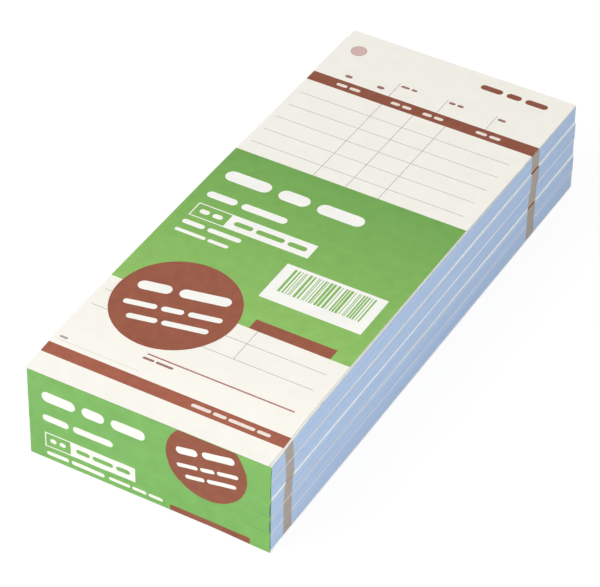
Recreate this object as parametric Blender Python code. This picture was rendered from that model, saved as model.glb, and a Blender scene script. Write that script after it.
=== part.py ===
"""A pack of five head-glued pads of carbonless guest checks, with its two label slips.

Metres, +Z up. The origin is under the middle of the stack, X runs across the pads, and the leaves are
glued at the +Y end, the head. Run with: blender --background --python part.py
"""

from math import atan2, cos, pi, radians, sin, sqrt

import bmesh
import bpy
from mathutils import Vector

MM = 0.001

# Leaves and pads
PAD_COUNT = 5
SETS_PER_PAD = 50
LEAVES_PER_SET = 2
LEAF_WIDTH = 75.0 * MM
LEAF_LENGTH = 177.0 * MM
LEAF_THICKNESS = 0.055 * MM
BOARD_THICKNESS = 0.44 * MM
GLUE_THICKNESS = 0.35 * MM

# Sets of the top pad whose leaves turn one by one, named from the top down
LOOSE_SETS = ("first", "second")

# Air between sheets that lie on each other, between pads, and behind the glue
SHEET_GAP = 0.04 * MM
PAD_GAP = 0.06 * MM
GLUE_GAP = 0.03 * MM

# How far each pad lies to the right of the top one, and how far it is turned, from the top pad down
PAD_SHIFTS = (0.0 * MM, 0.18 * MM, 0.18 * MM, 0.31 * MM, 0.19 * MM)
PAD_TURNS = (radians(0.0), radians(-0.11), radians(-0.02), radians(-0.12), radians(-0.12))

# The loose leaves of the top pad arch a little: up from the front edge, level, then down to the glue
CROWN_HEIGHT = 1.3 * MM
CROWN_FRONT_RISE = 24.0 * MM
CROWN_HEAD_FALL = 90.0 * MM
CROWN_STEPS = 36

# Loose writing underlay beneath the first set
UNDERLAY_THICKNESS = 0.15 * MM
UNDERLAY_HEAD_ROOM = 3.5 * MM
UNDERLAY_FRONT_ROOM = 0.5 * MM

# How far sheets that lie askew are moved to the right at the front edge and at the head
FIRST_SET_SHIFTS = (-0.5 * MM, 0.0 * MM)
UNDERLAY_SHIFTS = (0.0 * MM, -0.35 * MM)
NO_SHIFTS = (0.0 * MM, 0.0 * MM)

# Label slip on the top leaf: a strip across the pad with a round lobe over its front edge
LABEL_THICKNESS = 0.1 * MM
LABEL_FRONT_MARGIN = 41.9 * MM
LABEL_LENGTH = 66.0 * MM
LOBE_RADIUS = 18.4 * MM
LOBE_SIDE_MARGIN = 3.65 * MM
LOBE_OVERHANG = 1.9 * MM
LOBE_STEPS = 40

# Label panel over the front end, a little askew, and its flap that lies under the stack
END_LABEL_THICKNESS = 0.12 * MM
END_LABEL_STANDOFF = 0.25 * MM
END_LABEL_SHIFT = -0.35 * MM
END_LABEL_LEAN = 0.65 * MM
END_LABEL_TOP_DROP = 0.03 * MM
END_FLAP_LENGTH = 120.0 * MM

# Points closer than this are one point, and a cut this near a point goes through it
WELD_DISTANCE = 0.001 * MM
CUT_TOLERANCE = 0.00001 * MM

# Derived sizes
LEFT_EDGE = -LEAF_WIDTH / 2
RIGHT_EDGE = LEAF_WIDTH / 2
FRONT_EDGE = -LEAF_LENGTH / 2
HEAD_EDGE = LEAF_LENGTH / 2
LEAF_PITCH = LEAF_THICKNESS + SHEET_GAP
BOARD_TO_LEAVES = BOARD_THICKNESS + SHEET_GAP
STACK_BOTTOM = END_LABEL_THICKNESS + PAD_GAP

# Finishes: colour, roughness
WHITE_PAPER = ("original_leaf_paper", (0.87, 0.85, 0.78), 0.75)
BLUE_PAPER = ("copy_leaf_paper", (0.36, 0.50, 0.74), 0.75)
GREY_BOARD = ("backing_board", (0.80, 0.79, 0.75), 0.85)
CLEAR_GLUE = ("padding_glue", (0.78, 0.76, 0.70), 0.45)
UNDERLAY_CARD = ("underlay_card", (0.84, 0.80, 0.70), 0.6)
GREEN_LABEL = ("green_label_paper", (0.22, 0.47, 0.13), 0.55)


def clear_scene():
    """Remove every object that is in the scene."""
    for scene_object in list(bpy.data.objects):
        bpy.data.objects.remove(scene_object, do_unlink=True)


def new_collection(name):
    """Make a collection under the scene's own."""
    collection = bpy.data.collections.new(name)
    bpy.context.scene.collection.children.link(collection)
    return collection


def new_material(node_name, finish):
    """A Principled material of the node's own, from a finish's colour and roughness."""
    finish_name, colour, roughness = finish
    material = bpy.data.materials.new(f"{finish_name}.{node_name}")
    material.use_nodes = True
    shader = material.node_tree.nodes["Principled BSDF"]
    shader.inputs["Base Color"].default_value = (*colour, 1.0)
    shader.inputs["Roughness"].default_value = roughness
    shader.inputs["Metallic"].default_value = 0.0
    return material


def smooth_step(share):
    """A smooth rise from 0 to 1 as the share goes from 0 to 1."""
    share = min(max(share, 0.0), 1.0)
    return share * share * (3.0 - 2.0 * share)


def crown(y):
    """How far the top pad's leaves stand above their level at the head, at a place along the pad."""
    rise = smooth_step((y - FRONT_EDGE) / CROWN_FRONT_RISE)
    fall = smooth_step((HEAD_EDGE - y) / CROWN_HEAD_FALL)
    return CROWN_HEIGHT * rise * fall


def slab(x_span, y_span, z_span):
    """A box between two values on each axis."""
    bm = bmesh.new()
    bmesh.ops.create_cube(bm, size=1.0)
    spans = (x_span, y_span, z_span)
    sizes = [high - low for low, high in spans]
    middle = Vector([(low + high) / 2 for low, high in spans])
    bmesh.ops.scale(bm, vec=sizes, verts=bm.verts)
    bmesh.ops.translate(bm, vec=middle, verts=bm.verts)
    return bm


def arch_over_pad(bm, lowest_z):
    """Cut a shape across the pad and lift its points above lowest_z by the crown at their place."""
    for step in range(1, CROWN_STEPS):
        cut_y = FRONT_EDGE + LEAF_LENGTH * step / CROWN_STEPS
        whole = bm.verts[:] + bm.edges[:] + bm.faces[:]
        bmesh.ops.bisect_plane(bm, geom=whole, dist=CUT_TOLERANCE,
                               plane_co=(0, cut_y, 0), plane_no=(0, 1, 0))
    for vert in bm.verts:
        if vert.co.z > lowest_z:
            vert.co.z += crown(vert.co.y)
    return bm


def lay_askew(bm, shifts):
    """Move a sheet to the right by one shift at the front edge and by another at the head."""
    front_shift, head_shift = shifts
    for vert in bm.verts:
        vert.co.x += front_shift + (head_shift - front_shift) * (vert.co.y - FRONT_EDGE) / LEAF_LENGTH


def add_piece(name, bm, finish, collection, origin=(0, 0, 0), parent=None):
    """Turn a shape into a named object whose origin is at the given place in its parent's space."""
    bmesh.ops.translate(bm, vec=-Vector(origin), verts=bm.verts)
    bmesh.ops.recalc_face_normals(bm, faces=bm.faces)
    mesh = bpy.data.meshes.new(name)
    bm.to_mesh(mesh)
    bm.free()
    mesh.materials.append(new_material(name, finish))
    piece = bpy.data.objects.new(name, mesh)
    piece.location = origin
    piece.parent = parent
    collection.objects.link(piece)
    return piece


def add_empty(name, place, turn, collection):
    """An empty that carries the pieces of one pad."""
    empty = bpy.data.objects.new(name, None)
    empty.location = place
    empty.rotation_euler = (0, 0, turn)
    collection.objects.link(empty)
    return empty


def block_height(loose_leaves):
    """Height of a pad's leaves that stay together, without those that turn one by one."""
    return (SETS_PER_PAD * LEAVES_PER_SET - loose_leaves) * LEAF_THICKNESS


def build_pad(number, bottom_z, loose_leaves, loose_height, collection):
    """A pad's backing board, leaf block and head glue, carried by an empty.

    The glue also covers the head edges of the leaves that turn one by one, as high as loose_height.
    """
    shift = PAD_SHIFTS[number - 1]
    turn = PAD_TURNS[number - 1]
    carrier = add_empty(f"pad_{number}", (shift, 0, bottom_z), turn, collection)
    across = (LEFT_EDGE, RIGHT_EDGE)
    along = (FRONT_EDGE, HEAD_EDGE)
    leaves_top = BOARD_TO_LEAVES + block_height(loose_leaves)

    board = slab(across, along, (0, BOARD_THICKNESS))
    add_piece(f"pad_{number}_backing_board", board, GREY_BOARD, collection, parent=carrier)

    block = slab(across, along, (BOARD_TO_LEAVES, leaves_top))
    if loose_leaves:
        block = arch_over_pad(block, (BOARD_TO_LEAVES + leaves_top) / 2)
    add_piece(f"pad_{number}_leaf_block", block, BLUE_PAPER, collection, parent=carrier)

    glue_face = HEAD_EDGE + GLUE_GAP
    glue = slab(across, (glue_face, glue_face + GLUE_THICKNESS), (0, leaves_top + loose_height))
    add_piece(f"pad_{number}_head_glue", glue, CLEAR_GLUE, collection, parent=carrier)
    return bottom_z + leaves_top


def arched_sheet(name, y_span, bottom_z, thickness, shifts, finish, collection, origin=(0, 0, 0)):
    """A thin sheet as wide as the pads that follows the top pad's crown."""
    sheet = slab((LEFT_EDGE, RIGHT_EDGE), y_span, (bottom_z, bottom_z + thickness))
    arch_over_pad(sheet, bottom_z - thickness)
    lay_askew(sheet, shifts)
    return add_piece(name, sheet, finish, collection, origin)


def label_outline():
    """The label slip's outline in plan: a strip across the pad, with a round lobe over its front edge."""
    front = FRONT_EDGE + LABEL_FRONT_MARGIN
    back = front + LABEL_LENGTH
    centre_x = LEFT_EDGE + LOBE_SIDE_MARGIN + LOBE_RADIUS
    centre_y = front - LOBE_OVERHANG
    half_chord = sqrt(LOBE_RADIUS**2 - LOBE_OVERHANG**2)
    start = atan2(LOBE_OVERHANG, -half_chord)
    sweep = pi + 2 * (pi - start)
    outline = [(RIGHT_EDGE, front), (RIGHT_EDGE, back), (LEFT_EDGE, back), (LEFT_EDGE, front)]
    for step in range(LOBE_STEPS + 1):
        angle = start + sweep * step / LOBE_STEPS
        outline.append((centre_x + LOBE_RADIUS * cos(angle), centre_y + LOBE_RADIUS * sin(angle)))
    return outline


def outline_sheet(name, outline, bottom_z, thickness, collection):
    """A flat closed sheet from an outline in plan."""
    curve = bpy.data.curves.new(name, "CURVE")
    curve.dimensions = "2D"
    curve.fill_mode = "BOTH"
    curve.extrude = thickness / 2
    spline = curve.splines.new("POLY")
    spline.points.add(len(outline) - 1)
    for point, (x, y) in zip(spline.points, outline):
        point.co = (x, y, 0, 1)
    spline.use_cyclic_u = True
    drawn = bpy.data.objects.new(f"{name}_outline", curve)
    collection.objects.link(drawn)
    filled = drawn.evaluated_get(bpy.context.evaluated_depsgraph_get())
    mesh = bpy.data.meshes.new_from_object(filled)
    bpy.data.objects.remove(drawn, do_unlink=True)
    sheet = bmesh.new()
    sheet.from_mesh(mesh)
    bmesh.ops.remove_doubles(sheet, verts=sheet.verts, dist=WELD_DISTANCE)
    bmesh.ops.translate(sheet, vec=(0, 0, bottom_z + thickness / 2), verts=sheet.verts)
    return sheet


def build_end_label(stack_top, collection):
    """The panel over the front end, hinged at its bottom fold, and the flap that lies under the stack."""
    across = (LEFT_EDGE + END_LABEL_SHIFT, RIGHT_EDGE + END_LABEL_SHIFT)
    back_face = FRONT_EDGE - END_LABEL_STANDOFF
    outer_face = back_face - END_LABEL_THICKNESS
    panel_z = (END_LABEL_THICKNESS + SHEET_GAP, stack_top - END_LABEL_TOP_DROP)
    panel = slab(across, (outer_face, back_face), panel_z)
    for vert in panel.verts:
        vert.co.x += END_LABEL_LEAN * vert.co.z / stack_top
    add_piece("end_label_panel", panel, GREEN_LABEL, collection, origin=(0, outer_face, 0))
    flap = slab(across, (outer_face, FRONT_EDGE + END_FLAP_LENGTH), (0, END_LABEL_THICKNESS))
    add_piece("end_label_flap", flap, GREEN_LABEL, collection)


def build_pack():
    """Stack the pads from the bottom up, then lay the loose sheets and labels on and round them."""
    parts = new_collection("guest_check_pad_pack")
    loose_leaves = len(LOOSE_SETS) * LEAVES_PER_SET
    loose_height = loose_leaves * LEAF_PITCH + SHEET_GAP + UNDERLAY_THICKNESS

    pad_bottom = STACK_BOTTOM
    for number in range(PAD_COUNT, 1, -1):
        pad_top = build_pad(number, pad_bottom, 0, 0.0, parts)
        pad_bottom = pad_top + PAD_GAP
    sheet_top = build_pad(1, pad_bottom, loose_leaves, loose_height - SHEET_GAP, parts)

    # Every leaf turns about one line: the head edge, level with the top of the top leaf
    turn_line = (0, HEAD_EDGE, sheet_top + loose_height)
    for set_name in reversed(LOOSE_SETS):
        set_shifts = NO_SHIFTS
        if set_name == LOOSE_SETS[0]:
            set_shifts = FIRST_SET_SHIFTS
            underlay_along = (FRONT_EDGE + UNDERLAY_FRONT_ROOM, HEAD_EDGE - UNDERLAY_HEAD_ROOM)
            bottom = sheet_top + SHEET_GAP
            arched_sheet("writing_underlay", underlay_along, bottom, UNDERLAY_THICKNESS, UNDERLAY_SHIFTS,
                         UNDERLAY_CARD, parts)
            sheet_top = bottom + UNDERLAY_THICKNESS
        for leaf, finish in (("copy", BLUE_PAPER), ("original", WHITE_PAPER)):
            bottom = sheet_top + SHEET_GAP
            arched_sheet(f"{set_name}_{leaf}_leaf", (FRONT_EDGE, HEAD_EDGE), bottom, LEAF_THICKNESS,
                         set_shifts, finish, parts, turn_line)
            sheet_top = bottom + LEAF_THICKNESS

    label_bottom = sheet_top + SHEET_GAP
    label = outline_sheet("top_label", label_outline(), label_bottom, LABEL_THICKNESS, parts)
    arch_over_pad(label, label_bottom - LABEL_THICKNESS)
    lay_askew(label, FIRST_SET_SHIFTS)
    add_piece("top_label", label, GREEN_LABEL, parts)

    build_end_label(sheet_top, parts)
    print(f"The leaves turn about the head edge at y {HEAD_EDGE / MM:.3f}, z {turn_line[2] / MM:.3f} mm")


clear_scene()
build_pack()
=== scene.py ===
"""Looks of a pack of five carbonless guest check pads: leaves, boards, glue, underlay and label slips.

Metres, +Z up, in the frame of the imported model. Flat goods are laid out in millimetres on the sheet itself,
u across from its left edge and v up from its front edge, and are then bent into place.
"""

import logging
from dataclasses import dataclass, field, replace
from enum import Enum
from functools import partial
from math import cos, exp, pi, radians, sin
from random import Random
from typing import Any, Callable, NamedTuple

import bmesh
import bpy
from bpy.types import ID, Material, Mesh, Node, NodeSocket, NodeTree, Object, World
from mathutils import Matrix, Vector, noise
from mathutils.geometry import delaunay_2d_cdt

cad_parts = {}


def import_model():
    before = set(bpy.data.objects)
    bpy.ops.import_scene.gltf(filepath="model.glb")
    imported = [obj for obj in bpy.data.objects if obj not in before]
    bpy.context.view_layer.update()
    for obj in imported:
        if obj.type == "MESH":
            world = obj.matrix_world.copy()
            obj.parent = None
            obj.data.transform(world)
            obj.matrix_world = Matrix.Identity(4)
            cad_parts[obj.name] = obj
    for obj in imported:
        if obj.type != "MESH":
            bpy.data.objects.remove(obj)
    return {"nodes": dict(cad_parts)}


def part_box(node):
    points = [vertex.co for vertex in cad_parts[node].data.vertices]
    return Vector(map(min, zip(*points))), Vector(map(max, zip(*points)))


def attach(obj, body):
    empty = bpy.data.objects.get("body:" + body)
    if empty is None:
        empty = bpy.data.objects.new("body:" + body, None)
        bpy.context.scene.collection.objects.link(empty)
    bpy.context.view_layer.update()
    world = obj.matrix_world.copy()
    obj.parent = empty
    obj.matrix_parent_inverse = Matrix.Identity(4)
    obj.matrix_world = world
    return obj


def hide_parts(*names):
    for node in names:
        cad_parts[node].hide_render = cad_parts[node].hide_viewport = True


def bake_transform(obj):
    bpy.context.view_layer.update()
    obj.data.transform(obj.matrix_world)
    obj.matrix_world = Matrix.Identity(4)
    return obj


LOG = logging.getLogger("guest_check_pads")

MM = 0.001
PER_METRE = 1000.0
LEAF_THICKNESS_MM = 0.055
HAIR_GAP_MM = 0.005
CUT_EPSILON_MM = 1e-5
SHARP_ANGLE = radians(35.0)
WHITE = (1.0, 1.0, 1.0, 1.0)

MATH = "ShaderNodeMath"
MIX = "ShaderNodeMix"
MAP_RANGE = "ShaderNodeMapRange"
ATTRIBUTE = "ShaderNodeAttribute"

Point = tuple[float, float]
Span = tuple[float, float]
Box = tuple[float, float, float, float]
Outline = list[Point]
Nodes = dict[str, Object]
# The place of a point of a sheet, from u, v and the depth below its upper side
Shape = Callable[[float, float, float], Vector]


def linear(hex_colour: str) -> tuple[float, float, float, float]:
    """Turn an sRGB hex colour into linear RGBA.

    Args:
        hex_colour: Six hex digits, such as "A3624B".

    Returns:
        Red, green, blue and an alpha of 1.
    """
    shares = [int(hex_colour[place:place + 2], 16) / 255.0 for place in (0, 2, 4)]
    red, green, blue = [s / 12.92 if s <= 0.04045 else ((s + 0.055) / 1.055) ** 2.4 for s in shares]
    return red, green, blue, 1.0


def add_node(tree: NodeTree, kind: str, inputs: dict[str | int, Any] | None = None,
             **settings: Any) -> Node:
    """Add a node to a tree, with its settings and links.

    Args:
        tree: The shader or geometry tree.
        kind: The node's type name.
        inputs: For each input socket, by name or number, a constant, the output socket that feeds it, or the
            node whose first output feeds it.
        **settings: The node's own attributes.

    Returns:
        The new node.
    """
    node = tree.nodes.new(kind)
    for name, value in settings.items():
        setattr(node, name, value)
    for socket, value in (inputs or {}).items():
        if isinstance(value, Node):
            value = value.outputs[0]
        if isinstance(value, NodeSocket):
            tree.links.new(value, node.inputs[socket])
        else:
            node.inputs[socket].default_value = value
    return node


def empty_tree(owner: Material | World) -> NodeTree:
    """Empty the nodes of a material or a world.

    Args:
        owner: The material or the world.

    Returns:
        Its empty node tree.
    """
    owner.use_nodes = True
    owner.node_tree.nodes.clear()
    return owner.node_tree


def put_in_scene(name: str, data: ID) -> Object:
    """Make an object.

    Args:
        name: Name of the object.
        data: Its mesh, lamp or camera.

    Returns:
        The object, in the scene's collection.
    """
    made = bpy.data.objects.new(name, data)
    bpy.context.scene.collection.objects.link(made)
    return made


def smooth_step(share: float) -> float:
    """A smooth rise from 0 to 1 as the share goes from 0 to 1."""
    share = min(max(share, 0.0), 1.0)
    return share * share * (3.0 - 2.0 * share)


def towards(end: float, place: float, reach: float) -> float:
    """A smooth rise from 0 to 1 over the last reach before an end."""
    return smooth_step(1.0 + (place - end) / reach)


def evenly(length: float, count: int) -> list[float]:
    """The places that part a length into this many equal stretches."""
    return [length * step / count for step in range(1, count)]


def wander(u: float, v: float, waves: Span, draw: float) -> float:
    """Smooth noise over a sheet, by the lengths of its waves across and along and the number of the draw."""
    return noise.noise((u / waves[0], v / waves[1], draw))


@dataclass(frozen=True)
class Finish:
    """A matt sheet surface: two close tones in soft clouds, with a fine tooth that breaks up the light.

    Attributes:
        name: Name of the real material.
        light: sRGB hex of the lighter tone.
        dark: sRGB hex of the darker tone.
        cloud_mm: Width of the clouds.
        tooth_mm: Width of the fine tooth.
        roughness: Mean roughness.
        tooth_depth_mm: Depth of the tooth in the bump.
        shine: Specular level.
        stretch: How much each axis is drawn out, so that clouds become streaks.
    """

    name: str
    light: str
    dark: str
    cloud_mm: float = 6.0
    tooth_mm: float = 0.5
    roughness: float = 0.75
    tooth_depth_mm: float = 0.015
    shine: float = 0.35
    stretch: tuple[float, float, float] = (1.0, 1.0, 1.0)

    CLOUD_DETAIL = 4.0
    TOOTH_DETAIL = 2.0
    TOOTH_SHARE = 0.35
    TONE_SPAN = (0.35, 0.65)
    ROUGH_SPAN = (0.3, 0.7)
    ROUGH_SPREAD = 0.06
    BUMP_STRENGTH = 0.6

    def material(self) -> Material:
        """Make the material, or find it where it has been made already.

        Returns:
            The material of this finish's name.
        """
        made = bpy.data.materials.get(self.name)
        if made is None:
            made = bpy.data.materials.new(self.name)
            tree = empty_tree(made)
            add_node(tree, "ShaderNodeOutputMaterial", {"Surface": self.shade(tree)})
        return made

    def shade(self, tree: NodeTree) -> Node:
        """Build the surface.

        Args:
            tree: The material's empty tree.

        Returns:
            The Principled shader node.
        """
        coords = add_node(tree, "ShaderNodeTexCoord")
        drawn = add_node(tree, "ShaderNodeMapping", {
            "Vector": coords.outputs["Object"], "Scale": [1.0 / length for length in self.stretch]})
        tooth = add_node(tree, "ShaderNodeTexNoise", {
            "Vector": drawn, "Scale": PER_METRE / self.tooth_mm, "Detail": self.TOOTH_DETAIL})
        low, high = self.ROUGH_SPAN
        rough = add_node(tree, MAP_RANGE, {
            "Value": tooth, "From Min": low, "From Max": high,
            "To Min": self.roughness - self.ROUGH_SPREAD, "To Max": self.roughness + self.ROUGH_SPREAD})
        bump = add_node(tree, "ShaderNodeBump", {
            "Height": tooth, "Distance": self.tooth_depth_mm * MM, "Strength": self.BUMP_STRENGTH})
        return add_node(tree, "ShaderNodeBsdfPrincipled", {
            "Base Color": self.colour(tree, drawn, tooth), "Roughness": rough,
            "Specular IOR Level": self.shine, "Normal": bump})

    def colour(self, tree: NodeTree, drawn: Node, tooth: Node) -> NodeSocket:
        """Mix the two tones by the clouds and the tooth.

        Args:
            tree: The material's tree.
            drawn: The coordinates, drawn out by the finish's stretch.
            tooth: The tooth's noise.

        Returns:
            The socket that gives the colour.
        """
        clouds = add_node(tree, "ShaderNodeTexNoise", {
            "Vector": drawn, "Scale": PER_METRE / self.cloud_mm, "Detail": self.CLOUD_DETAIL})
        blended = add_node(tree, MIX, {0: self.TOOTH_SHARE, 2: clouds, 3: tooth})
        low, high = self.TONE_SPAN
        tone = add_node(tree, MAP_RANGE, {"Value": blended, "From Min": low, "From Max": high})
        return add_node(tree, MIX, {0: tone, 6: linear(self.dark), 7: linear(self.light)},
                        data_type="RGBA").outputs[2]


@dataclass(frozen=True)
class InkWithPaintedShade(Finish):
    """Ink with painted shade laid over it, deepening along the pack towards the head.

    Attributes:
        film: sRGB hex of the painted shade, multiplied over the ink where it is deepest.
        unshaded_mm: Place along the pack where the painted shade begins.
        deepest_shade_mm: Place along the pack where it is deepest.
    """

    film: str = "C9DCCC"
    unshaded_mm: float = -46.6
    deepest_shade_mm: float = 19.4

    def colour(self, tree: NodeTree, drawn: Node, tooth: Node) -> NodeSocket:
        """Multiply the painted shade over the even ink, deeper along the sheet.

        Args:
            tree: The material's tree.
            drawn: The coordinates, drawn out by the finish's stretch.
            tooth: The tooth's noise.

        Returns:
            The socket that gives the colour.
        """
        coords = add_node(tree, "ShaderNodeTexCoord")
        along = add_node(tree, "ShaderNodeSeparateXYZ", {0: coords.outputs["Object"]})
        share = add_node(tree, MAP_RANGE, {
            "Value": along.outputs["Y"], "From Min": self.unshaded_mm * MM, "From Max": self.deepest_shade_mm * MM})
        return add_node(tree, MIX, {0: share, 6: super().colour(tree, drawn, tooth), 7: linear(self.film)},
                        data_type="RGBA", blend_type="MULTIPLY").outputs[2]


@dataclass(frozen=True)
class BoardFinish(Finish):
    """Board whose cut edge is greyed in places, by the attribute edge_grey_share.

    Attributes:
        greyed: sRGB hex of the fully greyed edge.
    """

    greyed: str = "BFBBC2"

    def colour(self, tree: NodeTree, drawn: Node, tooth: Node) -> NodeSocket:
        """Grey the clean board by the attribute.

        Args:
            tree: The material's tree.
            drawn: The coordinates, drawn out by the finish's stretch.
            tooth: The tooth's noise.

        Returns:
            The socket that gives the colour.
        """
        greying = add_node(tree, ATTRIBUTE, attribute_name="edge_grey_share").outputs["Fac"]
        return add_node(tree, MIX, {0: greying, 6: super().colour(tree, drawn, tooth), 7: linear(self.greyed)},
                        data_type="RGBA").outputs[2]


class EdgeStripe(NamedTuple):
    """Where a printed bar runs off the leaves of a pad, in millimetres from their front edge.

    Attributes:
        front: Front edge of the stripe on the top leaf.
        back: Back edge of the stripe on the top leaf.
        fan: How far the stripe has moved along by the lowest leaf.
    """

    front: float
    back: float
    fan: float

    @property
    def middle(self) -> float:
        """Middle of the stripe on the top leaf."""
        return (self.front + self.back) / 2

    @property
    def at_board(self) -> Span:
        """Front and back edge on the lowest leaf, which lies on the board."""
        return self.front + self.fan, self.back + self.fan


@dataclass(frozen=True)
class LeafEdgeFinish(Finish):
    """Guillotined edges of a white and blue leaf stack, with stripes where printed bars run off the leaves.

    The leaves are far finer than a pixel, so their two tones come close together, and the tooth is drawn out
    to streaks that are a few leaves high, so that the stack still reads as leaves.

    Attributes:
        stripe: sRGB hex of the stripe.
        stripes: The stripes on the edges.
        leaf_count: Leaves in the stack.
        register_mm: How far the print wanders from leaf to leaf.
        bleed_mm: How far ink creeps past the bar on the cut edge.
        blur_mm: Half width of the stripe's soft border.
        cover: How far the stripe covers the paper.
    """

    # Height of the streaks, and their length over that height
    STREAK_MM = 0.55
    STREAK_RUN = 60.0 / STREAK_MM

    light: str = "B1C4DC"
    dark: str = "97AFD2"
    tooth_mm: float = STREAK_MM
    roughness: float = 0.85
    stretch: tuple[float, float, float] = (STREAK_RUN, STREAK_RUN, 1.0)
    stripe: str = "9F9488"
    stripes: tuple[EdgeStripe, ...] = ()
    leaf_count: int = 100
    register_mm: float = 0.4
    bleed_mm: float = 0.1
    blur_mm: float = 0.12
    cover: float = 0.94

    TOOTH_DETAIL = 3.0
    TONE_SPAN = (0.32, 0.68)
    ROUGH_SPAN = (0.0, 1.0)
    ROUGH_SPREAD = 0.08
    BUMP_STRENGTH = 0.5
    CHANCE_SHARE = 0.6
    STREAK_SHARE = 0.5

    def colour(self, tree: NodeTree, drawn: Node, tooth: Node) -> NodeSocket:
        """Tone each leaf by its number and print the stripes by the place along the leaf.

        Args:
            tree: The material's tree.
            drawn: The coordinates, drawn out by the finish's stretch; not used.
            tooth: The streaks' noise.

        Returns:
            The socket that gives the colour.
        """
        add = partial(add_node, tree)
        number = add(ATTRIBUTE, attribute_name="leaf_number").outputs["Fac"]
        place = add(ATTRIBUTE, attribute_name="leaf_place").outputs["Fac"]
        whole = add(MATH, {0: number}, operation="FLOOR")
        chance = add("ShaderNodeTexWhiteNoise", {"W": whole}, noise_dimensions="1D")
        parity = add(MATH, {0: whole, 1: 2.0}, operation="MODULO")
        leaf_tone = add(MIX, {0: self.CHANCE_SHARE, 2: parity, 3: chance})
        low, high = self.TONE_SPAN
        streak_tone = add(MAP_RANGE, {"Value": tooth, "From Min": low, "From Max": high})
        tone = add(MIX, {0: self.STREAK_SHARE, 2: leaf_tone, 3: streak_tone})
        surface = add(MIX, {0: tone, 6: linear(self.dark), 7: linear(self.light)},
                      data_type="RGBA").outputs[2]
        printed = add(MATH, {0: chance, 1: self.register_mm, 2: place}, operation="MULTIPLY_ADD")
        depth = add(MAP_RANGE, {"Value": whole, "From Max": self.leaf_count, "To Min": 1.0, "To Max": 0.0})
        for stripe in self.stripes:
            half = (stripe.back - stripe.front) / 2 + self.bleed_mm
            middle = add(MATH, {0: depth, 1: stripe.fan, 2: stripe.middle + self.register_mm / 2},
                         operation="MULTIPLY_ADD")
            away = add(MATH, {0: printed, 1: middle}, operation="SUBTRACT")
            distance = add(MATH, {0: away}, operation="ABSOLUTE")
            inked = add(MAP_RANGE, {
                "Value": distance, "From Min": half - self.blur_mm, "From Max": half + self.blur_mm,
                "To Min": self.cover, "To Max": 0.0}, interpolation_type="SMOOTHSTEP")
            surface = add(MIX, {0: inked, 6: surface, 7: linear(self.stripe)}, data_type="RGBA").outputs[2]
        return surface


# Uncoated white carbonless paper: chalky and even, with a faint cloudy formation
ORIGINAL_PAPER = Finish("white_carbonless_paper", "F8F5EC", "F4F1E8", cloud_mm=5.0, roughness=0.8)
# Uncoated blue carbonless paper, dyed in the pulp
COPY_PAPER = Finish("blue_carbonless_paper", "B2C9E6", "A9C1E0", cloud_mm=5.0, roughness=0.8)
# Offset ink on uncoated paper: it sinks in, so the solid is a little mottled and nearly as matt as the paper,
# and the darker copy for the head of the form is painted shade, for the head lying further from the light
BROWN_INK = Finish("brown_offset_ink", "A65F47", "99543E", cloud_mm=2.5, tooth_mm=0.35, roughness=0.62)
SHADED_BROWN_INK = Finish("brown_offset_ink_with_painted_shade", "8F4E38", "82432B", cloud_mm=2.5, tooth_mm=0.35,
                         roughness=0.6)
RULE_INK = Finish("grey_rule_ink", "B5AEA6", "A39B94", cloud_mm=1.5, roughness=0.7)
TOTAL_INK = Finish("red_brown_rule_ink", "B3746C", "A5625C", cloud_mm=1.5, roughness=0.65)
CAPTION_INK = Finish("fine_brown_ink", "A0736A", "93655D", cloud_mm=1.5, roughness=0.65)
PALE_RULE_INK = Finish("pale_grey_rule_ink", "E6E1D8", "DDD7CE", cloud_mm=1.5, roughness=0.7)
ROSE_INK = Finish("rose_tint_ink", "DAB9B3", "D2AFA9", cloud_mm=1.0, roughness=0.7)
KNOCKED_OUT = Finish("cream_knocked_out_of_ink", "F3E6DC", "E9DACF", cloud_mm=1.5, roughness=0.7)
# Offset-printed label paper: a smoother, clay-filled sheet that takes ink with a low sheen
# The slip's green carries painted shade that deepens towards the head of the pack
GREEN_INK = InkWithPaintedShade("green_offset_ink_with_painted_shade", "90C364", "86B85B", cloud_mm=4.0, tooth_mm=0.4,
                        roughness=0.55, shine=0.35)
# The end label's green is a lighter, cooler copy of the slip's green: painted light, for the light on the
# front end
LIT_GREEN_INK = Finish("green_offset_ink_on_end_label_painted_light", "7DB95E", "74AF56", cloud_mm=4.0, tooth_mm=0.4,
                       roughness=0.5, shine=0.4)
LABEL_BROWN_INK = Finish("brown_offset_ink_on_label_paper", "98553C", "8C4B34", cloud_mm=3.0, tooth_mm=0.4,
                         roughness=0.55, shine=0.35)
LABEL_PAPER = Finish("bare_label_paper", "FAF9F4", "F4F3ED", cloud_mm=5.0, roughness=0.6)
# Painted shadow on the end label's right edge: dark lenses where the edge stands off the pads and the gap
# behind it lies in shade
PAINTED_GAP_SHADOW = Finish("painted_gap_shadow_on_end_label", "35523A", "2A432F", cloud_mm=2.0, tooth_mm=0.3,
                      roughness=0.75)
# Cream card with a calendered face: smooth, with a low even sheen
UNDERLAY_CARD = Finish("cream_underlay_card", "F6F2E8", "EFEADF", cloud_mm=9.0, roughness=0.55, shine=0.4)
# Padding glue brushed along the head: milky, rubbery, streaked along the stroke, with a soft shine
PADDING_GLUE = Finish("brushed_padding_glue", "F3EFE4", "E2DFD6", cloud_mm=1.6, tooth_mm=0.5, roughness=0.42,
                      tooth_depth_mm=0.05, shine=0.5, stretch=(9.0, 1.0, 1.0))
# Off-white backing board: soft fibrous pulp with flecks
PAD_BOARD = BoardFinish("off_white_backing_board", "FCFDFF", "F2F4F8", cloud_mm=3.0, tooth_mm=0.5,
                        roughness=0.88, tooth_depth_mm=0.03)
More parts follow.
